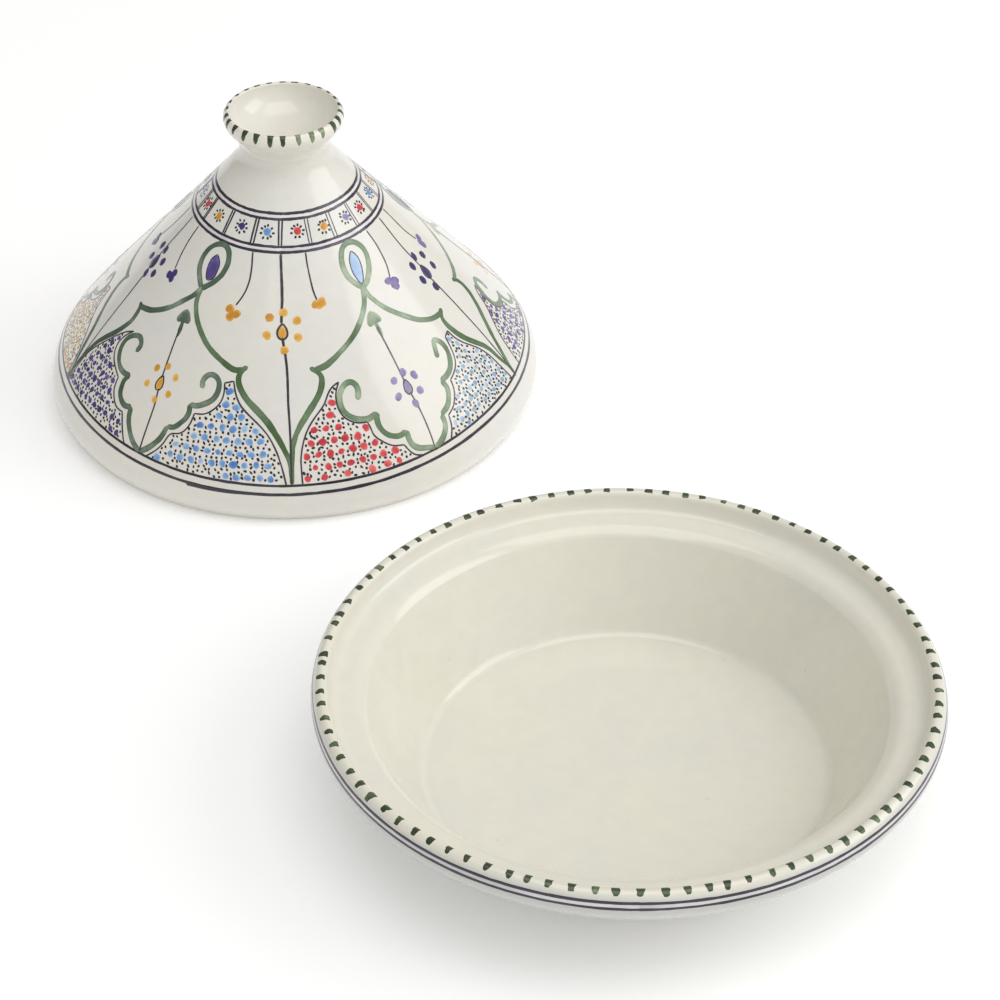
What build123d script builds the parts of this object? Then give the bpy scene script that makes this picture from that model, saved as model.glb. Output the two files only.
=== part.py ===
from build123d import *
import math
import os

# Tagine pot: a shallow round serving dish and its conical lid with a cup knob.
# Millimetres, +Z up. The origin is the centre of the dish's flat base, on the
# plane that both pieces stand on. The lid stands beside the dish, behind it
# and to the left (+Y is the back, -X is the left).

os.makedirs("parts", exist_ok=True)

# ---------------------------------------------------------------- dish sizes
dish_foot_r = 98.0         # flat turned base
foot_edge_r = 100.6        # top of the small round at the foot
foot_edge_z = 3.2
dish_height = 62.0         # crest of the lip
dish_belly_r = 150.6       # widest point, just under the lip
dish_belly_z = 53.5
lip_outer_r = 150.0        # outside of the rounded lip
lip_outer_z = 58.6
lip_crest_r = 147.7
lip_inner_r = 145.3
lip_inner_z = 60.4
ledge_z = 52.5             # seat for the lid
ledge_outer_r = 140.8
ledge_inner_r = 129.4
floor_z = 4.6
floor_r = 93.8             # edge of the flat part of the floor

# ----------------------------------------------------------------- lid sizes
lid_contact_in_r = 128.9   # flat ring that the lid stands on
lid_contact_out_r = 132.6
lid_belly_r = 138.4        # widest point of the lid
lid_belly_z = 13.0
wall = 7.2                 # thickness of the cone's wall
cavity_top_z = 142.4       # top of the hollow under the knob
neck_r = 23.9              # where the knob is luted on
neck_z = 154.8
knob_rim_r = 32.7          # widest point of the knob's rolled lip
knob_rim_z = 173.4
knob_top_z = 177.24        # crest of the lip
knob_mouth_r = 28.98
knob_mouth_z = 176.14
knob_floor_z = 159.8

# ----------------------------------------------- where the lid stands at rest
lid_x = -177.7
lid_y = 334.8


def turned(edges):
    """Turn a closed half section, given as (radius, height) edges, about +Z."""
    section = Face(Wire(edges))
    body = revolve(Plane.XZ * section, Axis.Z)
    if not section.is_valid or not body.is_valid:
        raise ValueError("the turned section is not valid")
    return body


# ---------------------------------------------------------------------- dish
dish_section = [
    Line((0, 0), (dish_foot_r, 0)),
    ThreePointArc(
        (dish_foot_r, 0), (dish_foot_r + 1.9, 1.1), (foot_edge_r, foot_edge_z)
    ),
    # outside of the bowl, up to its widest point and in again under the lip
    Spline(
        (foot_edge_r, foot_edge_z),
        (111.2, 11.8),
        (123.4, 23.2),
        (137.8, 37.4),
        (147.2, 47.4),
        (dish_belly_r, dish_belly_z),
        (lip_outer_r, lip_outer_z),
        tangents=((0.78, 0.62), (-0.20, 1.0)),
    ),
    # rounded lip
    ThreePointArc(
        (lip_outer_r, lip_outer_z),
        (lip_crest_r, dish_height),
        (lip_inner_r, lip_inner_z),
    ),
    # short recess wall down to the lid's seat
    Spline(
        (lip_inner_r, lip_inner_z),
        (143.2, 56.0),
        (ledge_outer_r, ledge_z),
        tangents=((-0.35, -1.0), (-1.0, -0.10)),
    ),
    Line((ledge_outer_r, ledge_z), (ledge_inner_r, ledge_z)),
    # rounded step off the seat, the bowed wall, and the cove into the floor
    Bezier((ledge_inner_r, ledge_z), (126.5, ledge_z), (124.4, 49.0)),
    Spline(
        (124.4, 49.0),
        (117.0, 36.0),
        (109.2, 22.8),
        (101.2, 9.8),
        tangents=((-0.50, -0.86), (-0.54, -0.84)),
    ),
    Bezier((101.2, 9.8), (97.86, floor_z), (floor_r, floor_z)),
    Line((floor_r, floor_z), (0, floor_z)),
    Line((0, floor_z), (0, 0)),
]

# ------------------------------------------------------------------ lid cone
# Outer face of the cone from the foot ring to the shoulder, as (radius, height).
cone_outer = [
    (136.3, 5.7),
    (lid_belly_r, lid_belly_z),
    (136.4, 22.7),
    (128.6, 35.7),
    (115.2, 51.9),
    (97.7, 71.4),
    (79.8, 90.9),
    (61.7, 110.4),
    (44.3, 129.8),
    (31.4, 144.8),
    (25.6, 151.5),
]


def offset_inward(points, thickness):
    """Points of the inner face, one wall's thickness inside the outer face."""
    inner = []
    for i in range(1, len(points) - 1):
        r, z = points[i]
        dr = points[i + 1][0] - points[i - 1][0]
        dz = points[i + 1][1] - points[i - 1][1]
        n = math.hypot(dr, dz)
        inner.append((r - thickness * dz / n, z + thickness * dr / n))
    return inner


cone_inner = offset_inward(cone_outer[:-2], wall)
lid_heel = (lid_contact_in_r - 1.6, 2.4)
hollow_dome_edge = (24.0, 135.4)

cone_section = [
    Line((lid_contact_in_r, 0), (lid_contact_out_r, 0)),
    # foot of the cone, turning in over the widest point, then the long cone
    ThreePointArc((lid_contact_out_r, 0), cone_outer[0], cone_outer[1]),
    Spline(
        *cone_outer[1:5],
        tangents=((0.10, 1.0), (-0.655, 0.755)),
    ),
    Spline(
        *cone_outer[4:],
        tangents=((-0.655, 0.755), (-0.66, 0.75)),
    ),
    # small hollow curve from the cone into the neck that the knob stands on
    Spline(
        cone_outer[-1],
        (24.4, 153.1),
        (neck_r, neck_z),
        tangents=((-0.66, 0.75), (-0.06, 1.0)),
    ),
    Line((neck_r, neck_z), (0, neck_z)),
    Line((0, neck_z), (0, cavity_top_z)),
    # domed top of the hollow, then the inner face down to the foot
    ThreePointArc((0, cavity_top_z), (12.5, 140.6), hollow_dome_edge),
    Spline(
        hollow_dome_edge,
        (41.0, 121.4),
        *cone_inner[:2:-1],
        tangents=((0.80, -0.60), (0.68, -0.735)),
    ),
    Spline(
        *cone_inner[3::-1],
        lid_heel,
        tangents=((0.68, -0.735), (-0.45, -1.0)),
    ),
    ThreePointArc(
        lid_heel, (lid_contact_in_r - 1.1, 0.7), (lid_contact_in_r, 0)
    ),
]

# ------------------------------------------------------------------ lid knob
knob_section = [
    Line((0, neck_z), (neck_r, neck_z)),
    # short neck, flaring under the rolled lip of the cup
    Spline(
        (neck_r, neck_z),
        (23.8, 158.6),
        (24.4, 161.9),
        (26.8, 164.5),
        (30.2, 166.8),
        (32.2, 170.0),
        (knob_rim_r, knob_rim_z),
        tangents=((-0.06, 1.0), (0.0, 1.0)),
    ),
    ThreePointArc((knob_rim_r, knob_rim_z), (32.22, 175.41), (30.9, 177.0)),
    ThreePointArc(
        (30.9, 177.0), (30.18, knob_top_z), (knob_mouth_r, knob_mouth_z)
    ),
    # the hollow of the cup
    Spline(
        (knob_mouth_r, knob_mouth_z),
        (27.0, 170.4),
        (22.4, 165.2),
        (14.0, 161.2),
        (0, knob_floor_z),
        tangents=((-0.16, -1.0), (-1.0, 0.0)),
    ),
    Line((0, knob_floor_z), (0, neck_z)),
]

# ------------------------------------------------------------ place and write
lid_place = Location((lid_x, lid_y, 0))
pieces = {
    "dish": turned(dish_section),
    "lid_cone": lid_place * turned(cone_section),
    "lid_knob": lid_place * turned(knob_section),
}

for name, shape in pieces.items():
    shape.label = name
    export_step(shape, f"parts/{name}.step")
    box = shape.bounding_box()
    print(
        name,
        "solids", len(shape.solids()),
        "volume cm3", round(shape.volume / 1000, 1),
        "min", [round(v, 2) for v in (box.min.X, box.min.Y, box.min.Z)],
        "max", [round(v, 2) for v in (box.max.X, box.max.Y, box.max.Z)],
    )
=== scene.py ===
import math

import bpy
import numpy as np
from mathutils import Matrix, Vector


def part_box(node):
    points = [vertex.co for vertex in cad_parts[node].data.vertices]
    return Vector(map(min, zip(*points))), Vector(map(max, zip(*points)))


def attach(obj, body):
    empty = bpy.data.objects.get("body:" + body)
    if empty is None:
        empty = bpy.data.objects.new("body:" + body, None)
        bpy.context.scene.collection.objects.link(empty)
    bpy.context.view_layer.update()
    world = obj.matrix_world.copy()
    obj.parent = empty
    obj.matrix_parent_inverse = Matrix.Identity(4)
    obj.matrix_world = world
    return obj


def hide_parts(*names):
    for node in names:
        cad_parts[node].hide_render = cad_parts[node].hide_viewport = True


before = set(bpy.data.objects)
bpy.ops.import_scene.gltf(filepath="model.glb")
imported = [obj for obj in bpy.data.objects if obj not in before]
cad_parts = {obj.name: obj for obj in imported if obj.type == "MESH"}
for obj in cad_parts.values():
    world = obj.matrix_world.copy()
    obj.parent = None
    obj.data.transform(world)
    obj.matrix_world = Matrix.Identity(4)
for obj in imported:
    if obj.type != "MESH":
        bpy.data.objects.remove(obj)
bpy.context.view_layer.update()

# Tagine pot: hand-painted glazed earthenware. Lengths below are millimetres in
# each piece's own turned frame, turned into metres where a mesh is written.
MM = 0.001
rng = np.random.default_rng(20261)

dish_lo, dish_hi = (np.array(c, float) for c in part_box("dish"))
cone_lo, cone_hi = (np.array(c, float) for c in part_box("lid_cone"))
DISH_C = (dish_lo + dish_hi) / 2 / MM
LID_C = (cone_lo + cone_hi) / 2 / MM
DISH_C[2] = dish_lo[2] / MM
LID_C[2] = cone_lo[2] / MM


# =====================================================================
# Curves
# =====================================================================
def spline(points, step, start=None, end=None):
    """A smooth curve through the points, clamped to the end directions given."""
    P = np.array(points, float)
    n = len(P)
    if n == 2:
        k = max(2, int(np.hypot(*(P[1] - P[0])) / step) + 1)
        return P[0] + np.linspace(0, 1, k)[:, None] * (P[1] - P[0])
    h = np.maximum(np.hypot(*np.diff(P, axis=0).T), 1e-6)
    t = np.concatenate([[0], np.cumsum(h)])
    A, B = np.zeros((n, n)), np.zeros((n, 2))
    for i in range(1, n - 1):
        A[i, i - 1], A[i, i], A[i, i + 1] = h[i], 2 * (h[i - 1] + h[i]), h[i - 1]
        B[i] = 3 * (h[i] * (P[i] - P[i - 1]) / h[i - 1] + h[i - 1] * (P[i + 1] - P[i]) / h[i])
    if start is None:
        A[0, 0], A[0, 1], B[0] = 2, 1, 3 * (P[1] - P[0]) / h[0]
    else:
        A[0, 0], B[0] = 1, np.array(start, float) / np.hypot(*start)
    if end is None:
        A[-1, -1], A[-1, -2], B[-1] = 2, 1, 3 * (P[-1] - P[-2]) / h[-1]
    else:
        A[-1, -1], B[-1] = 1, np.array(end, float) / np.hypot(*end)
    M = np.linalg.solve(A, B)
    tt = np.linspace(0, t[-1], max(4, int(t[-1] / step) + 1))
    i = np.clip(np.searchsorted(t, tt, side="right") - 1, 0, n - 2)
    u = ((tt - t[i]) / h[i])[:, None]
    hh = h[i][:, None]
    return (
        (2 * u**3 - 3 * u**2 + 1) * P[i]
        + (u**3 - 2 * u**2 + u) * hh * M[i]
        + (-2 * u**3 + 3 * u**2) * P[i + 1]
        + (u**3 - u**2) * hh * M[i + 1]
    )


def arc3(a, b, c, step):
    """Points of the arc through three points."""
    (ax, ay), (bx, by), (cx, cy) = a, b, c
    d = 2 * (ax * (by - cy) + bx * (cy - ay) + cx * (ay - by))
    ux = ((ax**2 + ay**2) * (by - cy) + (bx**2 + by**2) * (cy - ay) + (cx**2 + cy**2) * (ay - by)) / d
    uy = ((ax**2 + ay**2) * (cx - bx) + (bx**2 + by**2) * (ax - cx) + (cx**2 + cy**2) * (bx - ax)) / d
    r = math.hypot(ax - ux, ay - uy)
    t0, tm, t1 = (math.atan2(y - uy, x - ux) for x, y in (a, b, c))
    while tm - t0 > math.pi: tm -= 2 * math.pi
    while tm - t0 < -math.pi: tm += 2 * math.pi
    while t1 - tm > math.pi: t1 -= 2 * math.pi
    while t1 - tm < -math.pi: t1 += 2 * math.pi
    t = np.linspace(t0, t1, max(3, int(abs(t1 - t0) * r / step) + 1))
    return np.stack([ux + r * np.cos(t), uy + r * np.sin(t)], 1)


def bezier(a, b, c, step):
    a, b, c = (np.array(p, float) for p in (a, b, c))
    n = max(3, int(np.hypot(*(c - a)) / step) + 1)
    u = np.linspace(0, 1, n)[:, None]
    return (1 - u) ** 2 * a + 2 * u * (1 - u) * b + u**2 * c


def joined(*runs):
    out = [np.array(runs[0], float)]
    for run in runs[1:]:
        run = np.array(run, float)
        out.append(run[1:] if np.hypot(*(run[0] - out[-1][-1])) < 1e-3 else run)
    return np.vstack(out)


def line(a, b, step):
    n = max(2, int(math.hypot(b[0] - a[0], b[1] - a[1]) / step) + 1)
    return np.array(a) + np.linspace(0, 1, n)[:, None] * (np.array(b) - np.array(a))


# =====================================================================
# Turned surfaces: a half section, its arc length, and the slight wander
# that a hand-thrown wall has. Paint is laid on the same wandering surface.
# =====================================================================
class Turned:
    def __init__(self, section, centre, wander, rings):
        self.P = section
        self.centre = centre
        d = np.hypot(*np.diff(section, axis=0).T)
        self.s = np.concatenate([[0], np.cumsum(d)])
        T = np.gradient(section, self.s, axis=0)
        T /= np.maximum(np.hypot(T[:, 0], T[:, 1]), 1e-9)[:, None]
        self.N = np.stack([T[:, 1], -T[:, 0]], 1)
        self.wander, self.rings = wander, rings

    def radius(self, s):
        return np.interp(s, self.s, self.P[:, 0])

    def at(self, point):
        """Arc length at the section's point nearest to this one."""
        return float(self.s[np.argmin(np.hypot(*(self.P - np.array(point)).T))])

    def drift(self, phi, s):
        """Wander of the wall along its normal, fading at the axis."""
        a = np.radians(phi)
        r = np.interp(s, self.s, self.P[:, 0])
        low = np.sin(2 * a + 0.9) + 0.55 * np.sin(3 * a + 2.2 + 0.01 * s) + 0.25 * np.sin(5 * a + 0.4)
        ring = np.sin(2 * math.pi * s / 7.3 + 0.8 * np.sin(a + 0.5)) + 0.6 * np.sin(2 * math.pi * s / 3.9 + 1.3 * np.sin(a))
        foot = np.clip((np.interp(s, self.s, self.P[:, 1]) - 0.3) / 5.0, 0, 1)
        return (self.wander * low + self.rings * ring) * np.clip(r / 40.0, 0, 1) * foot

    def xyz(self, phi, s, h=0.0):
        """Place in metres: phi in degrees from the front (-Y) towards +X."""
        phi, s = np.broadcast_arrays(np.asarray(phi, float), np.asarray(s, float))
        r = np.interp(s, self.s, self.P[:, 0])
        z = np.interp(s, self.s, self.P[:, 1])
        nr = np.interp(s, self.s, self.N[:, 0])
        nz = np.interp(s, self.s, self.N[:, 1])
        off = self.drift(phi, s) + h
        r, z = r + nr * off, z + nz * off
        a = np.radians(phi)
        return np.stack([
            (self.centre[0] + r * np.sin(a)) * MM,
            (self.centre[1] - r * np.cos(a)) * MM,
            (self.centre[2] + z) * MM,
        ], -1)


def new_object(name, verts, faces, attributes=(), sharp=35.0):
    mesh = bpy.data.meshes.new(name)
    mesh.from_pydata([tuple(v) for v in verts], [], faces)
    mesh.validate()
    for key, values in attributes:
        layer = mesh.attributes.new(key, "FLOAT", "POINT")
        layer.data.foreach_set("value", np.asarray(values, np.float32))
    mesh.shade_smooth()
    if sharp:
        mesh.set_sharp_from_angle(angle=math.radians(sharp))
    mesh.update()
    obj = bpy.data.objects.new(name, mesh)
    bpy.context.scene.collection.objects.link(obj)
    return obj


def turned_object(name, surf, s_values, around, attributes=()):
    """The closed skin of a turned piece whose section starts and ends on the axis."""
    phi = np.arange(around) * 360.0 / around
    rows = [surf.xyz(phi, s) for s in s_values[1:-1]]
    verts = np.vstack([surf.xyz(0, s_values[0])[None], *rows, surf.xyz(0, s_values[-1])[None]])
    faces = []
    n = len(rows)
    for j in range(around):
        k = (j + 1) % around
        faces.append((0, 1 + k, 1 + j))
        last = 1 + (n - 1) * around
        faces.append((len(verts) - 1, last + j, last + k))
    for i in range(n - 1):
        a, b = 1 + i * around, 1 + (i + 1) * around
        for j in range(around):
            k = (j + 1) % around
            faces.append((a + j, a + k, b + k, b + j))
    values = []
    for key, fn in attributes:
        v = [fn(0.0, s_values[0])]
        for s in s_values[1:-1]:
            v.extend(np.broadcast_to(fn(phi, s), phi.shape))
        v.append(fn(0.0, s_values[-1]))
        values.append((key, v))
    return new_object(name, verts, faces, values, sharp=50.0)


def spaced(surf, fine, coarse, near):
    """Arc lengths along a section: fine steps where it curves, coarse where it is straight."""
    s = [0.0]
    T = np.gradient(surf.P, surf.s, axis=0)
    ang = np.unwrap(np.arctan2(T[:, 1], T[:, 0]))
    bend = np.abs(np.gradient(ang, surf.s))
    while s[-1] < surf.s[-1]:
        i = np.searchsorted(surf.s, s[-1])
        w = slice(max(0, i - 4), i + 8)
        k = float(np.max(bend[w])) if len(bend[w]) else 0.0
        s.append(s[-1] + float(np.clip(near / max(k, 1e-4), fine, coarse)))
    s[-1] = float(surf.s[-1])
    if s[-1] - s[-2] < fine * 0.4:
        s.pop(-2)
    return np.array(s)


# ------------------------------------------------------------------ sections
# Dish: up the outside from the centre of the foot, over the lip, and down the
# inside to the centre of the floor. The foot is a low turned ring.
dish_section = joined(
    line((0, 1.2), (87.0, 1.2), 1.0),
    bezier((87.0, 1.2), (89.2, 1.2), (90.0, 0.5), 0.3),
    bezier((90.0, 0.5), (90.5, 0.0), (91.3, 0.0), 0.3),
    line((91.3, 0), (98.0, 0), 0.7),
    arc3((98.0, 0), (99.9, 1.1), (100.6, 3.2), 0.4),
    spline([(100.6, 3.2), (111.2, 11.8), (123.4, 23.2), (137.8, 37.4), (146.9, 47.2), (150.1, 52.8), (149.7, 56.6)],
           0.5, (0.78, 0.62), (-0.20, 1.0)),
    spline([(149.7, 56.6), (148.9, 59.3), (147.2, 61.3), (144.9, 62.2), (142.8, 61.2), (141.5, 58.6), (140.1, 55.6)],
           0.2, (-0.20, 1.0), (-0.60, -1.0)),
    bezier((140.1, 55.6), (138.8, 53.2), (135.6, 52.8), 0.25),
    line((135.6, 52.8), (131.8, 52.3), 0.7),
    bezier((131.8, 52.3), (127.2, 51.8), (123.7, 47.8), 0.25),
    spline([(123.7, 47.8), (117.0, 36.0), (109.2, 22.8), (100.4, 8.6)], 0.6, (-0.50, -0.86), (-0.54, -0.84)),
    bezier((100.4, 8.6), (97.9, 4.6), (94.8, 4.6), 0.35),
    line((94.8, 4.6), (0, 4.6), 1.0),
)
# Lid: from the top of the neck's centre down the outside is kept separate, so
# that the paint's arc length starts at the foot, as on the potter's wheel.
cone_pts = [(132.6, 0), (136.3, 5.7), (138.4, 13.0), (136.4, 22.7), (128.6, 35.7), (115.2, 51.9),
            (97.7, 71.4), (79.8, 90.9), (61.7, 110.4), (44.3, 129.8), (31.4, 144.8), (25.6, 151.5)]


def inward(points, t):
    out = []
    for i in range(1, len(points) - 1):
        (r, z), dr, dz = points[i], points[i + 1][0] - points[i - 1][0], points[i + 1][1] - points[i - 1][1]
        n = math.hypot(dr, dz)
        out.append((r - t * dz / n, z + t * dr / n))
    return out


cone_outside = spline(cone_pts[:-1], 0.4)
shoulder = spline([(31.4, 144.8), (28.3, 148.5), (26.1, 151.9), (24.9, 155.6), (24.6, 158.4)], 0.25, (-0.66, 0.75), (-0.02, 1.0))
inner_pts = inward(cone_pts[1:-2], 7.2)
cone_inside = spline([(0, 142.4), (12.5, 140.6), (24.0, 135.4), (41.0, 121.4), *reversed(inner_pts), (127.3, 2.4)],
                     0.6, (1.0, 0.0), (-0.45, -1.0))
lid_section = joined(
    line((0, 159.0), (23.6, 159.0), 1.2),
    bezier((23.6, 159.0), (24.55, 159.2), (24.6, 158.4), 0.3),
    shoulder[::-1],
    cone_outside[::-1],
    line((132.6, 0), (128.9, 0), 0.5),
    arc3((128.9, 0), (127.8, 0.7), (127.3, 2.4), 0.35),
    cone_inside[::-1],
)
knob_section = joined(
    line((0, 157.0), (23.2, 157.0), 1.2),
    bezier((23.2, 157.0), (24.5, 157.0), (24.55, 158.2), 0.3),
    spline([(24.55, 158.2), (24.9, 160.6), (26.2, 163.4), (28.6, 165.8), (31.0, 168.5), (32.3, 171.0), (32.7, 173.4)],
           0.35, (0.04, 1.0), (0.0, 1.0)),
    arc3((32.7, 173.4), (32.22, 175.41), (30.9, 177.0), 0.2),
    arc3((30.9, 177.0), (30.18, 177.24), (28.98, 176.14), 0.15),
    spline([(28.98, 176.14), (27.0, 170.4), (22.4, 165.2), (14.0, 161.2), (0, 159.8)], 0.4, (-0.16, -1.0), (-1.0, 0.0)),
)

dish = Turned(dish_section, DISH_C, 0.16, 0.012)
# the outside of the cone with its arc length from the foot, for the paint
cone = Turned(cone_outside, LID_C, 0.15, 0.010)
knob = Turned(knob_section, LID_C, 0.10, 0.010)


class LidSkin(Turned):
    """The lid's whole skin, whose outside wanders exactly as the painted surface does."""

    def __init__(self, section, centre, outside):
        super().__init__(section, centre, outside.wander, outside.rings)
        self.outside = outside
        self.N = -self.N
        self.foot = float(self.s[np.argmin(np.abs(self.P[:, 0] - 132.6) + np.abs(self.P[:, 1]))])
        self.top = self.foot - outside.s[-1]

    def drift(self, phi, s):
        s = np.asarray(s, float)
        inside = np.clip((s - self.foot) / 12.0, 0, 1)
        above = np.clip((self.top - s) / 3.0, 0, 1)
        on = self.outside.drift(phi, np.clip(self.foot - s, 0, self.outside.s[-1]))
        return on * (1 - inside) * (1 - above)


lid = LidSkin(lid_section, LID_C, cone)
knob.N = knob.N


# =====================================================================
# Paint: thin closed skins laid on a turned surface
# =====================================================================
def smooth_noise(n, size, seed_rng):
    """A smooth random line of n values, about zero, wandering every `size` samples."""
    k = max(4, int(n / size) + 3)
    knots = seed_rng.normal(0, 1, k)
    x = np.linspace(0, k - 1.001, n)
    i = x.astype(int)
    u = x - i
    u = u * u * (3 - 2 * u)
    return knots[i] * (1 - u) + knots[np.minimum(i + 1, k - 1)] * u


class Paint:
    def __init__(self, name, surf, lift):
        self.name, self.surf, self.lift = name, surf, lift
        self.v, self.f, self.d = [], [], []
        self.n = 0

    def _add(self, verts, faces, dens):
        self.v.append(verts)
        self.f.extend([tuple(i + self.n for i in f) for f in faces])
        self.d.append(np.clip(dens, 0, 1))
        self.n += len(verts)

    def ribbon(self, pts, width, dens=0.7, closed=False, corners=None, ragged=0.04,
               taper=(1.0, 1.0), vary=0.10, step=0.9, is_fine=False, w_of=None, fade=0.0):
        """A brush stroke along (phi, s) points: width in mm, rounded ends, uneven edges."""
        P = np.array(pts, float)
        k = math.pi / 180 * max(float(np.mean(self.surf.radius(P[:, 1]))), 5.0)
        Q = P * [k, 1]
        C = Q if is_fine else spline(Q, step)
        C = C / [k, 1]
        if closed and np.hypot(*((C[0] - C[-1]) * [k, 1])) < 1e-6:
            C = C[:-1]
        m = len(C)
        r = np.maximum(self.surf.radius(C[:, 1]), 1.0) * math.pi / 180
        if closed:
            D = np.roll(C, -1, 0) - np.roll(C, 1, 0)
            D[:, 0] = (D[:, 0] + 180) % 360 - 180
        else:
            D = np.gradient(C, axis=0)
        D = D * np.stack([r, np.ones(m)], 1)
        D /= np.maximum(np.hypot(D[:, 0], D[:, 1]), 1e-9)[:, None]
        N = np.stack([-D[:, 1], D[:, 0]], 1)
        seg = np.hypot(*(np.diff(C, axis=0) * np.stack([r[1:], np.ones(m - 1)], 1)).T)
        L = np.concatenate([[0], np.cumsum(seg)])
        w = np.full(m, width / 2.0)
        if w_of is not None:
            w = w * w_of(L / L[-1])
        w = w * (1 + ragged * smooth_noise(m, 9, rng))
        if not closed:
            for d, on in ((L, taper[0]), (L[-1] - L, taper[1])):
                cap = width / 2.0
                u = np.clip(d / cap, 0, 1)
                w = w * (1 - on + on * np.sqrt(np.clip(1 - (1 - u) ** 2, 0.02, 1)))
        edge = ragged * width * 0.5
        wl = w + edge * smooth_noise(m, 4, rng)
        wr = w + edge * smooth_noise(m, 4, rng)
        wl, wr = np.maximum(wl, 0.08), np.maximum(wr, 0.08)
        us = (-1, -0.9, -0.35, 0.35, 0.9, 1) if width > 1.0 else (-1, -0.85, 0.85, 1)
        hs = (-0.09, self.lift * 0.8, self.lift, self.lift, self.lift * 0.8, -0.09) if width > 1.0 else \
             (-0.09, self.lift, self.lift, -0.09)
        es = (0.08, 0.08, -0.03, -0.03, 0.08, 0.08) if width > 1.0 else (0, 0, 0, 0)
        cols, ds = [], []
        along = dens + fade * L / L[-1] + vary * smooth_noise(m, 16, rng)
        for u, h, e in zip(us, hs, es):
            o = np.where(u < 0, -wl, wr) * abs(u)
            phi = C[:, 0] + N[:, 0] * o / r
            s = np.clip(C[:, 1] + N[:, 1] * o, 0, self.surf.s[-1])
            cols.append(self.surf.xyz(phi, s, h))
            ds.append(along + e)
        V = np.stack(cols, 1).reshape(-1, 3)
        q = len(us)
        faces = []
        for i in range(m if closed else m - 1):
            j = (i + 1) % m
            for a in range(q):
                b = (a + 1) % q
                faces.append((i * q + a, i * q + b, j * q + b, j * q + a))
        if not closed:
            faces.append(tuple(range(q))[::-1])
            faces.append(tuple((m - 1) * q + a for a in range(q)))
        self._add(V, faces, np.stack(ds, 1).reshape(-1))

    def blob(self, phi, s, rx, ry=None, turn=0.0, dens=0.6, seg=12, ragged=0.08, vary=0.12):
        """A dab of paint: rx across, ry along its own turned axis, in mm."""
        ry = rx if ry is None else ry
        t = np.arange(seg) * 2 * math.pi / seg
        rad = 1 + ragged * smooth_noise(seg, 2, rng) * 0.8
        rad += ragged * 0.7 * np.cos(2 * t + rng.uniform(0, 6.28))
        self.outline_fill(phi, s, rx * rad * np.cos(t), ry * rad * np.sin(t), turn, dens, vary)

    def outline_fill(self, phi, s, x, y, turn=0.0, dens=0.6, vary=0.12):
        seg = len(x)
        c, sn = math.cos(turn), math.sin(turn)
        X, Y = x * c - y * sn, x * sn + y * c
        r = max(float(self.surf.radius(s)), 1.0) * math.pi / 180
        rings = ((1.0, -0.09), (0.9, self.lift * 0.8), (0.5, self.lift))
        V, ds = [], []
        lean = rng.uniform(0, 6.28)
        for f, h in rings:
            V.append(self.surf.xyz(phi + X * f / r, np.clip(s + Y * f, 0, self.surf.s[-1]), h))
            ang = np.arctan2(Y, X)
            ds.append(dens + vary * np.cos(ang - lean) * f + (-0.16 if f > 0.8 else 0.04))
        V.append(self.surf.xyz(np.array([phi]), np.array([s]), self.lift * 1.05))
        ds.append(np.array([dens + 0.08]))
        faces = [tuple(range(seg))[::-1]]
        for a in range(2):
            for j in range(seg):
                k = (j + 1) % seg
                faces.append((a * seg + j, a * seg + k, (a + 1) * seg + k, (a + 1) * seg + j))
        for j in range(seg):
            faces.append((2 * seg + j, 2 * seg + (j + 1) % seg, 3 * seg))
        self._add(np.vstack(V), faces, np.concatenate(ds))

    def shape(self, pts, dens=0.6, inset=0.0, step=0.5):
        """A filled closed outline in (phi, s)."""
        P = np.array(pts, float)
        c = P[:-1].mean(0) if np.allclose(P[0], P[-1]) else P.mean(0)
        k = math.pi / 180 * float(self.surf.radius(c[1]))
        Q = (P - c) * [k, 1]
        if not np.allclose(Q[0], Q[-1]):
            Q = np.vstack([Q, Q[:1]])
        C = spline(Q, step)[:-1]
        if inset:
            l = np.hypot(C[:, 0], C[:, 1])
            C = C * (np.maximum(l - inset, 0.2) / np.maximum(l, 1e-6))[:, None]
        area = 0.5 * np.sum(C[:, 0] * np.roll(C[:, 1], -1) - np.roll(C[:, 0], -1) * C[:, 1])
        if area < 0:
            C = C[::-1]
        self.outline_fill(c[0], c[1], C[:, 0], C[:, 1], 0.0, dens)

    def make(self, material, body, slot):
        obj = new_object(self.name, np.vstack(self.v), self.f, [("dens", np.concatenate(self.d))])
        obj.data.materials.append(material)
        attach(obj, body)
        return obj


# =====================================================================
# Materials
# =====================================================================
def lin(c):
    return tuple(((v / 255) / 12.92 if v <= 10 else ((v / 255 + 0.055) / 1.055) ** 2.4) for v in c) + (1.0,)


def node(nt, kind, x, y, **inputs):
    n = nt.nodes.new(kind)
    n.location = (x, y)
    for key, value in inputs.items():
        n.inputs[key.replace("_", " ")].default_value = value
    return n


def ramp(nt, x, y, stops):
    n = nt.nodes.new("ShaderNodeValToRGB")
    n.location = (x, y)
    e = n.color_ramp.elements
    while len(e) < len(stops):
        e.new(0.5)
    for el, (p, c) in zip(e, stops):
        el.position, el.color = p, c if len(c) == 4 else lin(c)
    return n


def mixer(nt, x, y, kind, fac, a=None, b=None):
    n = nt.nodes.new("ShaderNodeMix")
    n.data_type, n.blend_type = "RGBA", kind
    n.location = (x, y)
    if fac is not None:
        n.inputs[0].default_value = fac
    if a is not None:
        n.inputs[6].default_value = a
    if b is not None:
        n.inputs[7].default_value = b
    return n


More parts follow.
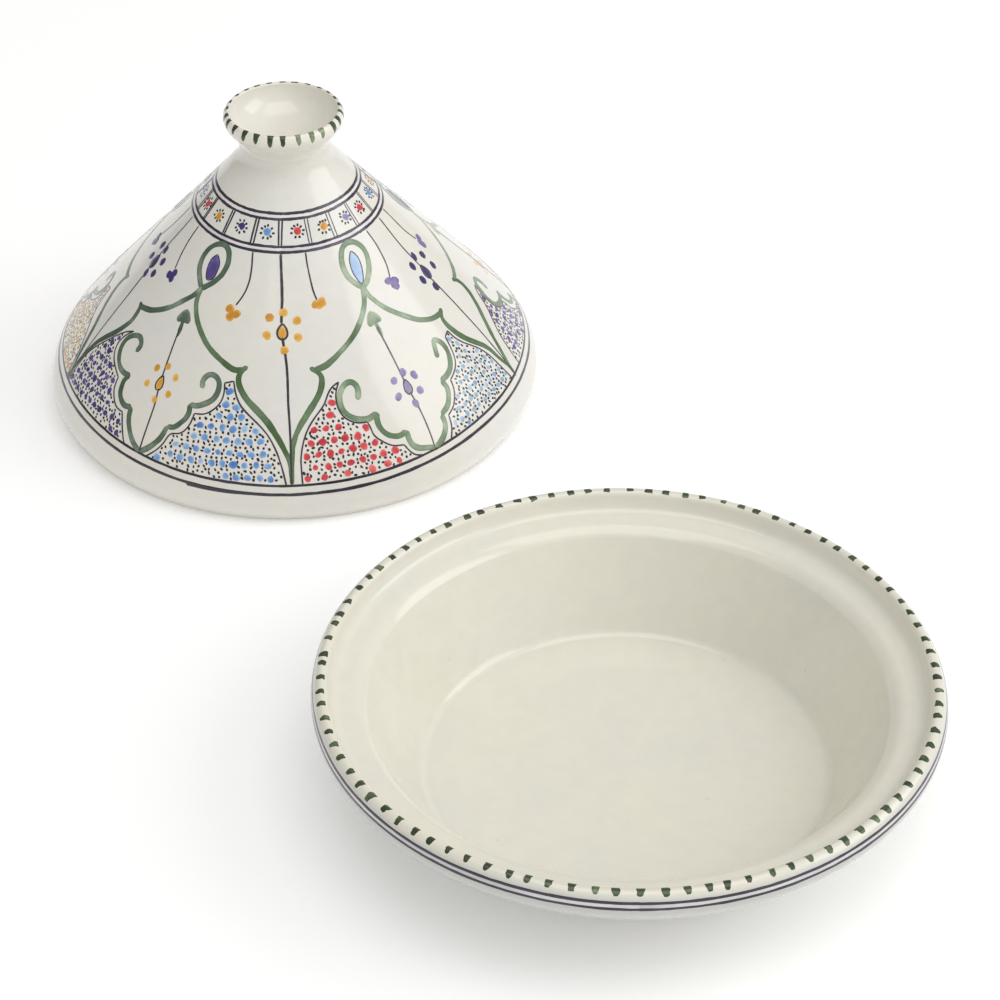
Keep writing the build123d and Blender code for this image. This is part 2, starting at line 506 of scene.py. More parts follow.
def glaze(name, body, cool, warm, edge, speck, rough=0.10):
    """Opaque tin-white glaze: cloudy, faintly speckled, thin and warm over edges."""
    m = bpy.data.materials.new(name)
    m.use_nodes = True
    nt = m.node_tree
    nt.nodes.clear()
    L = nt.links.new
    out = node(nt, "ShaderNodeOutputMaterial", 1400, 0)
    p = node(nt, "ShaderNodeBsdfPrincipled", 1100, 0)
    L(p.outputs[0], out.inputs[0])
    co = node(nt, "ShaderNodeTexCoord", -900, 0)
    cloud = node(nt, "ShaderNodeTexNoise", -600, 300, Scale=16.0, Detail=3.0, Roughness=0.55)
    mott = node(nt, "ShaderNodeTexNoise", -600, 50, Scale=130.0, Detail=2.0, Roughness=0.5)
    spk = node(nt, "ShaderNodeTexVoronoi", -600, -200, Scale=210.0, Randomness=1.0)
    peel = node(nt, "ShaderNodeTexNoise", -600, -500, Scale=420.0, Detail=2.0, Roughness=0.6)
    for t in (cloud, mott, spk, peel):
        L(co.outputs["Object"], t.inputs["Vector"])
    r1 = ramp(nt, -350, 300, [(0.34, cool), (0.5, body), (0.68, warm)])
    L(cloud.outputs["Fac"], r1.inputs[0])
    r2 = ramp(nt, -350, 50, [(0.30, (249, 249, 248)), (0.70, (255, 255, 255))])
    L(mott.outputs["Fac"], r2.inputs[0])
    m1 = mixer(nt, -50, 200, "MULTIPLY", 0.55)
    L(r1.outputs[0], m1.inputs[6])
    L(r2.outputs[0], m1.inputs[7])
    # rare iron specks: only the cells whose random value is high, at their centres
    near = node(nt, "ShaderNodeMapRange", -350, -150)
    near.inputs[1].default_value, near.inputs[2].default_value = 0.0, 0.0009 * 210
    near.inputs[3].default_value, near.inputs[4].default_value = 1.0, 0.0
    L(spk.outputs["Distance"], near.inputs[0])
    sep = node(nt, "ShaderNodeSeparateColor", -350, -330)
    L(spk.outputs["Color"], sep.inputs[0])
    rare = node(nt, "ShaderNodeMath", -150, -330)
    rare.operation = "GREATER_THAN"
    rare.inputs[1].default_value = 0.985
    L(sep.outputs[0], rare.inputs[0])
    both = node(nt, "ShaderNodeMath", 20, -250)
    both.operation = "MULTIPLY"
    L(near.outputs[0], both.inputs[0])
    L(rare.outputs[0], both.inputs[1])
    soft = node(nt, "ShaderNodeMath", 180, -250)
    soft.operation = "MULTIPLY"
    soft.inputs[1].default_value = 0.35
    L(both.outputs[0], soft.inputs[0])
    m2 = mixer(nt, 250, 200, "MIX", None, b=lin(speck))
    L(soft.outputs[0], m2.inputs[0])
    L(m1.outputs[2], m2.inputs[6])
    # glaze runs thin over edges (edge = 1) and is wiped off the foot (bare = 1)
    ed = node(nt, "ShaderNodeAttribute", 200, 500)
    ed.attribute_name = "edge"
    ne = node(nt, "ShaderNodeTexNoise", 0, 700, Scale=70.0, Detail=3.0)
    L(co.outputs["Object"], ne.inputs["Vector"])
    em = node(nt, "ShaderNodeMath", 400, 600)
    em.operation = "MULTIPLY"
    L(ed.outputs["Fac"], em.inputs[0])
    L(ne.outputs["Fac"], em.inputs[1])
    m3 = mixer(nt, 550, 250, "MIX", None, b=lin(edge))
    L(em.outputs[0], m3.inputs[0])
    L(m2.outputs[2], m3.inputs[6])
    # painted shade: the dish's outside (outside = 1) is mixed towards grey, standing in for the shade under the lip and
    # down the outer wall
    ou = node(nt, "ShaderNodeAttribute", 500, 700)
    ou.attribute_name = "outside"
    m5 = mixer(nt, 680, 250, "MIX", None, b=lin((190, 192, 190)))
    L(ou.outputs["Fac"], m5.inputs[0])
    L(m3.outputs[2], m5.inputs[6])
    ba = node(nt, "ShaderNodeAttribute", 500, 500)
    ba.attribute_name = "bare"
    clay = ramp(nt, 350, -450, [(0.35, (193, 160, 128)), (0.65, (215, 186, 155))])
    grit = node(nt, "ShaderNodeTexNoise", 100, -500, Scale=600.0, Detail=4.0)
    L(co.outputs["Object"], grit.inputs["Vector"])
    L(grit.outputs["Fac"], clay.inputs[0])
    m4 = mixer(nt, 800, 250, "MIX", None)
    L(ba.outputs["Fac"], m4.inputs[0])
    L(m5.outputs[2], m4.inputs[6])
    L(clay.outputs[0], m4.inputs[7])
    L(m4.outputs[2], p.inputs["Base Color"])
    rr = node(nt, "ShaderNodeMapRange", 500, -150)
    rr.inputs[1].default_value, rr.inputs[2].default_value = 0.3, 0.7
    rr.inputs[3].default_value, rr.inputs[4].default_value = rough, rough + 0.08
    L(mott.outputs["Fac"], rr.inputs[0])
    rb = node(nt, "ShaderNodeMath", 750, -150)
    rb.operation = "MAXIMUM"
    rs = node(nt, "ShaderNodeMath", 620, -300)
    rs.operation = "MULTIPLY"
    rs.inputs[1].default_value = 0.85
    L(ba.outputs["Fac"], rs.inputs[0])
    L(rr.outputs[0], rb.inputs[0])
    L(rs.outputs[0], rb.inputs[1])
    L(rb.outputs[0], p.inputs["Roughness"])
    bump = node(nt, "ShaderNodeBump", 800, -400, Strength=0.10, Distance=0.0002)
    L(peel.outputs["Fac"], bump.inputs["Height"])
    L(bump.outputs[0], p.inputs["Normal"])
    p.inputs["IOR"].default_value = 1.5
    p.inputs["Coat Weight"].default_value = 0.35
    p.inputs["Coat Roughness"].default_value = 0.07
    return m


def paint(name, pale, mid, dark, grain=260.0):
    """Ceramic colour under the clear glaze: its tone follows how thickly the brush laid it."""
    m = bpy.data.materials.new(name)
    m.use_nodes = True
    nt = m.node_tree
    nt.nodes.clear()
    L = nt.links.new
    out = node(nt, "ShaderNodeOutputMaterial", 1000, 0)
    p = node(nt, "ShaderNodeBsdfPrincipled", 700, 0)
    L(p.outputs[0], out.inputs[0])
    co = node(nt, "ShaderNodeTexCoord", -700, 0)
    at = node(nt, "ShaderNodeAttribute", -400, 250)
    at.attribute_name = "dens"
    a = node(nt, "ShaderNodeTexNoise", -450, 0, Scale=grain, Detail=3.0, Roughness=0.6)
    b = node(nt, "ShaderNodeTexNoise", -450, -250, Scale=40.0, Detail=2.0)
    L(co.outputs["Object"], a.inputs["Vector"])
    L(co.outputs["Object"], b.inputs["Vector"])
    k1 = node(nt, "ShaderNodeMath", -200, 0)
    k1.operation = "MULTIPLY_ADD"
    k1.inputs[1].default_value, k1.inputs[2].default_value = 0.55, -0.275
    L(a.outputs["Fac"], k1.inputs[0])
    k2 = node(nt, "ShaderNodeMath", -200, -250)
    k2.operation = "MULTIPLY_ADD"
    k2.inputs[1].default_value, k2.inputs[2].default_value = 0.7, -0.35
    L(b.outputs["Fac"], k2.inputs[0])
    s1 = node(nt, "ShaderNodeMath", 0, 100)
    L(at.outputs["Fac"], s1.inputs[0])
    L(k1.outputs[0], s1.inputs[1])
    s2 = node(nt, "ShaderNodeMath", 150, 50)
    L(s1.outputs[0], s2.inputs[0])
    L(k2.outputs[0], s2.inputs[1])
    r = ramp(nt, 320, 100, [(0.05, pale), (0.5, mid), (0.92, dark)])
    L(s2.outputs[0], r.inputs[0])
    L(r.outputs[0], p.inputs["Base Color"])
    rr = node(nt, "ShaderNodeMapRange", 320, -200)
    rr.inputs[1].default_value, rr.inputs[2].default_value = 0.3, 0.7
    rr.inputs[3].default_value, rr.inputs[4].default_value = 0.10, 0.19
    L(a.outputs["Fac"], rr.inputs[0])
    L(rr.outputs[0], p.inputs["Roughness"])
    bump = node(nt, "ShaderNodeBump", 420, -400, Strength=0.08, Distance=0.0002)
    L(a.outputs["Fac"], bump.inputs["Height"])
    L(bump.outputs[0], p.inputs["Normal"])
    p.inputs["IOR"].default_value = 1.5
    p.inputs["Coat Weight"].default_value = 0.35
    p.inputs["Coat Roughness"].default_value = 0.07
    return m


lid_glaze = glaze("lid_glaze", (225, 222, 214), (223, 222, 216), (227, 223, 213), (219, 214, 200), (172, 156, 130))
knob_glaze = glaze("knob_glaze", (230, 227, 217), (228, 227, 219), (232, 228, 216), (220, 211, 192), (172, 156, 130))
dish_glaze = glaze("dish_glaze", (228, 225, 212), (226, 224, 213), (230, 226, 211), (221, 219, 201), (170, 154, 126))
green = paint("green_brushwork", (172, 187, 160), (101, 126, 93), (60, 92, 44))
# a darker, greyer copy of the green for strokes on the lid's left flank: painted shade
painted_shade_green = paint("green_brushwork_painted_shade", (150, 164, 146), (82, 102, 82), (52, 76, 50))
ink = paint("manganese_line", (92, 80, 100), (54, 44, 62), (30, 24, 34))
black = paint("black_stipple", (60, 52, 58), (36, 30, 36), (20, 16, 20))
purple = paint("purple_dabs", (140, 124, 184), (86, 68, 140), (52, 38, 104))
violet = paint("dark_violet_dabs", (96, 78, 150), (62, 46, 114), (42, 28, 84))
lilac = paint("lilac_dabs", (184, 174, 206), (144, 131, 176), (108, 94, 150))
blue = paint("blue_dabs", (178, 202, 228), (116, 160, 210), (70, 116, 188))
grey_blue = paint("pale_blue_dabs", (190, 208, 220), (148, 178, 204), (104, 140, 180))
pale_blue = paint("pale_blue_fill", (190, 212, 236), (166, 194, 228), (128, 160, 208))
red = paint("red_dabs", (232, 128, 124), (212, 62, 68), (178, 30, 44))
orange = paint("orange_dabs", (240, 200, 122), (218, 162, 52), (190, 126, 28))
wash = paint("lilac_wash", (230, 227, 224), (222, 218, 221), (206, 200, 210))
grey_wash = paint("grey_wash", (228, 226, 223), (215, 213, 214), (196, 194, 198))
dark_green = paint("rim_green", (132, 146, 110), (58, 77, 38), (32, 48, 19))


# =====================================================================
# Pots
# =====================================================================
def bump_at(s0, width):
    return lambda phi, s: np.exp(-(((s - s0) / width) ** 2)) * np.ones_like(np.asarray(phi, float))


def soft_step(x):
    """0 below, 1 above, with a smooth change about zero."""
    return 0.5 + 0.5 * np.tanh(x / 2)


crest = dish.at((144.9, 62.2))
foot_in, foot_out = dish.at((90.2, 0.3)), dish.at((98.7, 0.1))
step_edge = dish.at((128.4, 51.6))


def dish_edge(phi, s):
    v = 0.75 * np.exp(-(((s - crest) / 3.0) ** 2)) + 0.45 * np.exp(-(((s - step_edge) / 2.0) ** 2))
    return v * np.ones_like(np.asarray(phi, float))


def dish_bare(phi, s):
    a = np.radians(phi)
    out = foot_out + 0.5 * np.sin(3 * a) + 0.3 * np.sin(7 * a + 1)
    return soft_step((s - foot_in + 1.2) / 0.35) * soft_step((out - s) / 0.35)


shoulder_s = dish.at((148.4, 60.0))


def dish_outer_painted_shade(phi, s):
    """Painted shade on the dish's outside: full on the lip's outer turn and fading down the wall towards the foot."""
    s = np.asarray(s, float) * np.ones_like(np.asarray(phi, float))
    up = np.clip((s - foot_out) / (shoulder_s - foot_out), 0, 1)
    return (0.45 + 0.45 * up) * soft_step((shoulder_s - s) / 0.8)


dish_body = turned_object("dish_body", dish, spaced(dish, 0.32, 2.2, 0.09), 512,
                          [("edge", dish_edge), ("bare", dish_bare), ("outside", dish_outer_painted_shade)])
dish_body.data.materials.append(dish_glaze)
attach(dish_body, "dish")
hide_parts("dish")

lid_in, lid_out = lid.at((127.6, 1.2)), lid.at((131.8, 0.0))


def lid_edge(phi, s):
    return 0.55 * np.exp(-(((s - lid.foot + 3.0) / 2.5) ** 2)) * np.ones_like(np.asarray(phi, float))


def lid_bare(phi, s):
    a = np.radians(phi)
    lo = lid_out + 0.3 + 0.3 * np.sin(4 * a + 0.5)
    return soft_step((s - lo) / 0.3) * soft_step((lid_in - s) / 0.3)


lid_body = turned_object("lid_body", lid, spaced(lid, 0.35, 2.4, 0.09), 512,
                         [("edge", lid_edge), ("bare", lid_bare)])
lid_body.data.materials.append(lid_glaze)
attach(lid_body, "lid")
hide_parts("lid_cone")

rim = knob.at((30.2, 177.24))
knob_body = turned_object("knob_body", knob, spaced(knob, 0.22, 1.6, 0.10), 320,
                          [("edge", lambda phi, s: 0.6 * bump_at(rim, 1.6)(phi, s)),
                           ("bare", lambda phi, s: 0 * np.asarray(phi, float))])
knob_body.data.materials.append(knob_glaze)
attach(knob_body, "lid")
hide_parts("lid_knob")


# =====================================================================
# Painted ornament on the cone. Angles are degrees round the lid from the
# front, lengths are millimetres up the cone from its foot.
# =====================================================================
def jitter(pts, amount):
    """A hand's small error: the same stroke, never twice the same."""
    P = np.array(pts, float)
    n = len(P)
    k = amount / (float(np.mean(cone.radius(P[:, 1]))) * math.pi / 180)
    return P + np.stack([k * smooth_noise(n, 3, rng), amount * smooth_noise(n, 3, rng)], 1)


def turn(pts, by, flip=False):
    P = np.array(pts, float)
    return P * [-1 if flip else 1, 1] + [by, 0]


def low_line(phi, base):
    """Height of the foot bands, which climb a little round the sides."""
    return base + SIDE_RISE * np.sin(np.radians(phi)) ** 2


SIDE_RISE = 9.0
WAIST_RISE = 1.4


def high_line(phi, base):
    """Height of the waist bands, which climb a very little round the sides."""
    return base + WAIST_RISE * np.sin(np.radians(phi)) ** 2


arch0 = [
    [(-37.7, 125.5), (-37.6, 119.2), (-36.0, 113.1), (-33.1, 107.2), (-29.7, 101.5), (-26.0, 96.5), (-22.1, 92.5), (-18.1, 88.9), (-14.5, 86.7), (-12.0, 87.7)],
    [(-12.0, 87.7), (-13.1, 82.9), (-11.9, 76.8), (-9.6, 71.5), (-6.3, 65.7), (-3.2, 59.3), (-0.8, 52.2), (1.0, 45.5), (2.2, 37.8), (2.6, 25.4)],
    [(37.0, 125.8), (35.3, 119.0), (32.8, 113.2), (29.8, 107.7), (26.2, 102.4), (21.9, 97.3), (17.8, 92.6), (13.4, 88.6), (10.5, 87.5)],
    [(10.5, 87.5), (12.3, 84.2), (12.2, 79.4), (10.7, 73.3), (8.4, 67.3), (5.8, 60.2), (4.1, 54.0), (3.0, 46.6), (2.7, 36.1), (2.5, 25.5)],
]
arch72 = [
    [(-35.0, 125.8), (-34.4, 122.0), (-32.6, 116.5), (-29.4, 109.9), (-25.2, 103.6), (-21.0, 97.6), (-16.3, 93.1), (-12.2, 91.1), (-9.0, 91.0)],
    [(-9.0, 91.0), (-10.2, 87.5), (-9.9, 81.7), (-8.0, 73.4), (-4.4, 63.9), (-1.9, 56.1), (-1.0, 48.2), (0.3, 38.3), (0.4, 32.4)],
    [(34.5, 126.0), (33.8, 121.0), (30.6, 115.3), (26.0, 109.1), (19.6, 101.5), (13.4, 95.8), (9.8, 94.2)],
    [(9.8, 94.2), (11.3, 89.0), (10.6, 81.5), (8.0, 73.3), (5.0, 64.6), (2.9, 56.3), (1.4, 47.0), (0.6, 38.0), (0.5, 32.0)],
]
arch_72 = [
    [(-34.5, 126.0), (-33.0, 121.0), (-30.2, 115.3), (-26.0, 109.1), (-21.0, 103.2), (-16.0, 98.4), (-10.6, 95.8)],
    [(-10.6, 95.8), (-11.3, 91.0), (-10.6, 84.5), (-8.2, 76.3), (-5.0, 67.2), (-2.6, 58.3), (-0.8, 49.0), (0.8, 40.0), (1.4, 35.5)],
    [(34.3, 125.5), (32.6, 120.5), (29.1, 114.8), (25.0, 108.4), (21.0, 103.7), (16.4, 99.6), (10.3, 96.9)],
    [(10.3, 96.9), (10.9, 93.4), (11.1, 88.8), (10.0, 83.2), (7.6, 75.6), (4.3, 67.0), (2.5, 60.1), (1.6, 52.2), (1.1, 43.7), (1.5, 36.6)],
]
loop_r = [(0.9, 125.4), (-2.5, 130.3), (-4.4, 136.7), (-3.9, 143.4), (-1.4, 148.4), (3.2, 150.9), (7.1, 150.1), (10.2, 147.0), (11.1, 141.7), (9.4, 135.8), (6.8, 131.0), (3.1, 126.8), (0.9, 125.4)]
loop_l = [(-1.6, 124.4), (-5.0, 129.2), (-7.9, 134.3), (-9.1, 140.4), (-7.9, 145.8), (-3.6, 150.1), (1.4, 150.8), (5.1, 147.7), (6.7, 142.0), (5.7, 135.6), (2.8, 129.9), (-1.6, 124.4)]
leaf_r = [(3.2, 146.2), (0.9, 143.0), (-0.6, 137.7), (-0.3, 131.8), (1.5, 127.5), (3.6, 131.3), (5.3, 137.6), (5.1, 143.1), (3.2, 146.2)]
leaf_l = [(-1.0, 144.9), (-3.3, 141.7), (-3.5, 136.3), (-2.2, 131.6), (-0.9, 130.0), (1.3, 130.9), (2.6, 135.5), (2.1, 140.6), (-1.0, 144.9)]
palm_l = [
    [(12.8, 73.6), (12.0, 76.3), (12.4, 79.5), (13.9, 81.8), (15.9, 81.1), (17.2, 78.3), (17.4, 74.0), (16.5, 69.2), (14.3, 65.6), (11.8, 63.5), (10.0, 63.6)],
    [(10.0, 63.6), (10.6, 60.1), (10.1, 55.4), (8.9, 51.7), (7.2, 48.9), (5.7, 48.7)],
    [(5.7, 48.7), (5.4, 43.9), (4.2, 38.5), (2.3, 33.5), (0.5, 29.5)],
    [(-15.2, 76.5), (-14.7, 81.3), (-16.6, 84.2), (-19.4, 83.0), (-21.5, 79.1), (-21.7, 73.3), (-20.0, 68.0), (-17.7, 64.6), (-14.7, 63.3), (-12.2, 64.2)],
    [(-12.2, 64.2), (-13.2, 61.0), (-13.1, 56.8), (-12.3, 53.1), (-10.6, 49.9), (-8.7, 48.8), (-6.7, 50.0)],
    [(-6.7, 50.0), (-6.3, 45.9), (-5.3, 41.5), (-3.7, 36.7), (-1.7, 32.7), (0.5, 29.5)],
]
palm_r = [
    [(-14.4, 67.8), (-13.6, 71.8), (-13.6, 75.1), (-15.0, 78.1), (-16.9, 77.5), (-18.7, 73.7), (-19.4, 68.5), (-18.8, 63.4), (-17.0, 59.5), (-14.3, 57.0), (-12.1, 57.0), (-10.0, 59.0)],
    [(-10.0, 59.0), (-10.6, 53.8), (-10.1, 49.1), (-8.8, 45.6), (-6.9, 43.6), (-5.3, 43.6), (-3.9, 44.9)],
    [(-3.9, 44.9), (-4.0, 40.2), (-2.9, 34.5), (-0.8, 30.3), (2.0, 28.5)],
    [(14.9, 72.7), (16.0, 78.1), (17.5, 81.8), (19.0, 79.4), (19.6, 74.3), (18.7, 68.9), (17.1, 64.8), (14.6, 62.1), (11.7, 61.3)],
    [(11.7, 61.3), (12.4, 57.7), (12.1, 54.2), (11.0, 50.5), (9.1, 46.9), (6.9, 45.2)],
    [(6.9, 45.2), (6.9, 40.7), (5.8, 35.9), (4.1, 31.7), (2.0, 28.5)],
]
stem_l = [(-3.2, 100.8), (-2.7, 93.7), (-2.2, 84.4), (-1.6, 74.2), (-1.3, 68.7), (-0.3, 59.4), (0.2, 47.3), (0.4, 29.9)]
stem_r = [(-0.4, 103.2), (0.1, 94.2), (0.6, 82.3), (0.9, 71.6), (1.1, 65.6), (1.7, 54.7), (1.9, 41.8), (1.8, 29.2)]
arrow_l = [(-3.9, 110.9), (-6.0, 107.4), (-5.4, 105.0), (-3.9, 105.4), (-3.3, 100.6), (-2.7, 105.6), (-0.7, 106.9), (-1.5, 109.6)]
dots_front = [(0.7, 119.6), (-4.6, 116.6), (6.1, 115.0), (-5.3, 107.0), (6.1, 105.8), (1.2, 99.1)]
drop_front = (0.4, 109.0)
dots_72 = [(-0.1, 122.6), (5.6, 118.9), (-5.2, 120.1), (5.9, 110.4), (-5.6, 110.6), (-2.2, 102.6)]
dots_m72 = [(-5.6, 126.6), (-0.3, 127.6), (-6.7, 117.5), (4.3, 122.5), (-0.6, 110.1), (4.2, 114.0)]
dots_pl = [(-1.0, 78.6), (-4.5, 75.3), (-5.4, 65.5), (3.0, 74.6), (2.7, 64.8), (-0.8, 59.5)]
dots_pr = [(1.6, 74.9), (4.6, 71.0), (-2.1, 72.2), (4.3, 62.2), (-2.6, 63.3), (1.4, 56.7)]

pan_rf = ([(17.3, 79.3), (15.1, 77.1), (13.5, 73.5), (12.3, 69.2), (10.2, 64.3), (8.1, 59.3), (6.6, 54.2), (5.5, 47.5), (4.9, 40.1), (4.9, 32.7), (5.0, 26.3)],
          [(17.3, 79.3), (16.3, 75.6), (15.7, 71.5), (15.7, 66.6), (16.4, 62.1), (18.0, 58.2), (20.2, 55.8), (22.7, 55.2), (23.1, 52.8), (23.5, 48.0), (25.1, 43.5), (27.4, 39.6), (30.4, 38.0), (31.0, 34.9), (32.5, 30.8), (34.3, 27.7)])
pan_lf = ([(-14.4, 80.6), (-13.3, 74.6), (-11.7, 69.1), (-9.2, 64.3), (-6.0, 59.0), (-3.4, 53.5), (-1.5, 46.9), (0.1, 37.9), (1.3, 27.4)],
          [(-14.4, 80.6), (-17.1, 78.9), (-16.7, 73.6), (-17.2, 68.1), (-18.8, 63.6), (-21.0, 60.4), (-23.8, 59.4), (-24.0, 55.4), (-24.8, 50.4), (-26.6, 46.7), (-28.5, 45.3), (-29.6, 40.6), (-31.2, 34.4), (-33.5, 28.5)])
pan_pl = ([(-56.8, 84.3), (-60.0, 80.7), (-62.7, 75.3), (-66.0, 67.0), (-68.5, 59.1), (-69.7, 51.6), (-69.9, 43.8), (-69.7, 35.8)],
          [(-56.8, 84.3), (-59.4, 78.1), (-59.9, 72.1), (-58.3, 66.7), (-55.4, 62.8), (-51.9, 59.3), (-51.3, 54.0), (-49.4, 48.7), (-47.1, 45.5), (-44.8, 45.1), (-43.5, 40.5), (-42.1, 35.5), (-40.5, 30.2)])
pan_br = ([(60.3, 81.2), (61.3, 75.0), (63.9, 67.9), (67.5, 58.3), (68.9, 49.2), (69.7, 40.9), (70.4, 32.8)],
          [(60.3, 81.2), (58.0, 79.3), (57.2, 72.2), (55.9, 65.8), (53.7, 61.7), (50.8, 59.0), (50.2, 54.0), (48.5, 48.3), (46.8, 45.2), (44.8, 43.0), (44.4, 38.1), (42.7, 29.2)])
# fields of stipple round the lid: (shape, turned by, colour)
fields = [
    (pan_rf, 0, "red"), (pan_lf, 0, "blue"), (pan_pl, 0, "purple"), (pan_br, 0, "blue"),
    (pan_rf, 72, "purple"), (pan_br, 72, "orange"), (pan_rf, 144, "red"), (pan_br, 144, "blue"),
    (pan_pl, -72, "red"), (pan_lf, -72, "orange"),
]
# spacing along and between the rows of dabs, their size and how thickly they are laid
grain_of = {"red": (6.3, 6.7, 2.05, 0.56), "blue": (6.2, 6.4, 2.05, 0.52), "purple": (5.4, 5.7, 1.85, 0.60),
            "orange": (5.8, 6.0, 1.75, 0.50), "pale_blue": (5.3, 5.5, 1.6, 0.50)}
arches = [(0, arch0), (72, arch72), (-72, arch_72), (144, arch0), (-144, arch0)]
palms = [(-36, palm_l, stem_l), (36, palm_r, stem_r), (108, palm_r, stem_r), (180, palm_r, stem_r), (-108, palm_l, stem_l)]
loops = [(-36, loop_l, leaf_l, "purple"), (36, loop_r, leaf_r, "pale"), (108, loop_r, leaf_r, "purple"),
         (180, loop_l, leaf_l, "pale"), (-108, loop_l, leaf_l, "pale")]

strokes = Paint("lid_green_strokes", cone, 0.085)
# strokes on the lid's left flank go on this darker copy of the green: painted shade
shaded = Paint("lid_green_strokes_painted_shade", cone, 0.092)
rings = Paint("lid_band_lines", cone, 0.070)
lines = Paint("lid_fine_lines", cone, 0.105)
washes = Paint("lid_band_wash", cone, 0.045)
stipple = Paint("lid_black_stipple", cone, 0.060)
dabs = {k: Paint(f"lid_{k}_dabs", cone, 0.075) for k in ("red", "blue", "purple", "orange", "pale_blue")}
petals = {k: Paint(f"lid_{k}_petals", cone, 0.120) for k in ("orange", "lilac", "violet")}
pale_leaf = Paint("lid_pale_leaves", cone, 0.060)
leaf_dark = Paint("lid_violet_leaves", cone, 0.060)


def round_line(p, base, width, rise=None, dens=0.75, wav=0.12, n=720, painted_highlight_at=None):
    phi = np.arange(n) * 360.0 / n
    # the line is laid paler about the given angle: a painted highlight on the band
    if painted_highlight_at is not None:
        dens = dens - 0.38 * np.exp(-((((phi - painted_highlight_at + 180) % 360 - 180) / 15.0) ** 2))
    a = np.radians(phi)
    s = base(phi) if callable(base) else np.full(n, float(base))
    s = s + wav * (np.sin(3 * a + base_phase(width)) + 0.7 * np.sin(7 * a + 2) + 0.4 * np.sin(17 * a + 5))
    p.ribbon(np.stack([phi, s], 1), width, dens=dens, closed=True, is_fine=True, ragged=0.07, vary=0.16)


def base_phase(w):
    return w * 3.1


# foot bands, waist bands and the band of cells under the plain top
round_line(rings, lambda f: low_line(f, 26.3), 1.5, wav=0.10, dens=0.78)
round_line(rings, lambda f: low_line(f, 21.4), 1.8, wav=0.14, dens=0.8)
rings.ribbon([(-22.0, low_line(-22.0, 20.1)), (-17.0, low_line(-17.0, 20.3)), (-9.0, low_line(-9.0, 21.0)), (2.0, low_line(2.0, 21.4))],
             1.5, dens=0.85)
# the waist lines are laid paler about 27 degrees, where the upper cone catches the key light: painted highlight
for s0, w in ((152.2, 1.7), (155.2, 1.6), (170.2, 1.7), (173.3, 1.8)):
    round_line(rings, lambda f, s0=s0: high_line(f, s0), w, wav=0.07, dens=0.80, painted_highlight_at=27.0)
for s0, w in ((153.7, 2.4), (171.75, 2.5)):
    round_line(washes, lambda f, s0=s0: high_line(f, s0), w, wav=0.03, dens=0.5)

cells = ["red", "orange", "violet", "blue", "red", "orange", "lilac", "red", "blue", "orange",
         "violet", "blue", "red", "orange", "violet", "red", "blue", "orange", "violet", "blue"]
divide = [-61.6, -39.6, -18.4, -1.2, 17.2, 34.5, 52.8]
centres = [-67.7, -49.9, -28.7, -10.0, 10.3, 28.6, 46.7, 62.8, 82.6]
divide = divide + [52.8 + 17.93 * (i + 1) for i in range(13)]
for i, a in enumerate(divide):
    g = 1.12 + 0.12 * rng.normal()
    for side in (-g, g):
        a0, a1 = a + side + 0.12 * rng.normal(), a + side * 0.8 + 0.25 * rng.normal()
        up = high_line(a, 0.0)
        # dividing lines on the lit side (10 to 120 degrees) are drawn thinner, and paler as painted light
        light = 10 < a < 120
        lines.ribbon([(a0 + 0.1, 169.9 + up), ((a0 + a1) / 2, 162.6 + up), (a1, 155.4 + up)], 0.7 if light else 1.05,
                     dens=0.42 if light else 0.74, ragged=0.06)
for i in range(20):
    if i < len(centres):
        a = centres[i]
    else:
        a = centres[-1] + (i - len(centres) + 1) * (360 - centres[-1] + centres[0]) / (20 - len(centres) + 1)
    s = high_line(a, 163.0) + 0.3 * rng.normal()
    kind = cells[i]
    target = petals[kind] if kind in petals else dabs[kind]
    for k in range(3):
        t = rng.uniform(0, 6.28)
        target.blob(a + math.degrees(0.5 * math.cos(t) / cone.radius(s)), s + 0.5 * math.sin(t),
                    1.75, 2.05, t, dens=0.66, ragged=0.14, seg=12)
    n = 9
    for k in range(n):
        t = 2 * math.pi * (k + 0.3 * rng.normal() * 0.4) / n
        rad = 3.15 + 0.2 * rng.normal()
        stipple.blob(a + math.degrees(rad * math.cos(t) / cone.radius(s)), s + rad * math.sin(t) * 1.05,
                     0.95, 0.72, t, dens=0.7, seg=9)

# green arches, loops and palmettes
for axis, group in arches:
    for i, st in enumerate(group):
        P = turn(st, axis)
        if abs(axis) > 100:
            P = jitter(P, 0.5)
        if i % 2 == 0:
            # pale where the brush starts at the loop, darker towards the cusp
            # on the -72 arch the strokes take the darker copy of the green, and its left half (far) is laid denser
            # still: painted shade on the lid's left flank
            brush = shaded if axis == -72 else strokes
            far = axis == -72 and P[-1, 0] < axis
            brush.ribbon(P, 3.25, dens=0.30 if axis + P[0, 0] > 0 and axis >= 0 else 0.80 if far else 0.50, ragged=0.05, vary=0.10,
                           w_of=lambda t: 0.94 + 0.12 * t, fade=0.30)
        else:
            P[-1, 1] = low_line(P[-1, 0], 26.3) + 0.4
            P[-2, 1] = max(P[-2, 1], P[-1, 1] + 5.0)
            # the lower stroke starts a little beyond the cusp, over the end of the upper one
            away = np.array([1.4 if P[0, 0] < axis else -1.4, 1.5])
            P = np.vstack([P[0] + away, P])
            # the left half (far) of the -72 arch is laid denser and darker: painted shade
            far = axis == -72 and P[-2, 0] < axis
            (shaded if axis == -72 else strokes).ribbon(P, 3.4, dens=1.0 if far else 0.78, ragged=0.05, vary=0.12,
                           w_of=lambda t: 0.86 + 0.28 * np.sin(math.pi * np.clip(t * 1.2, 0, 1)) - 0.12 * t)
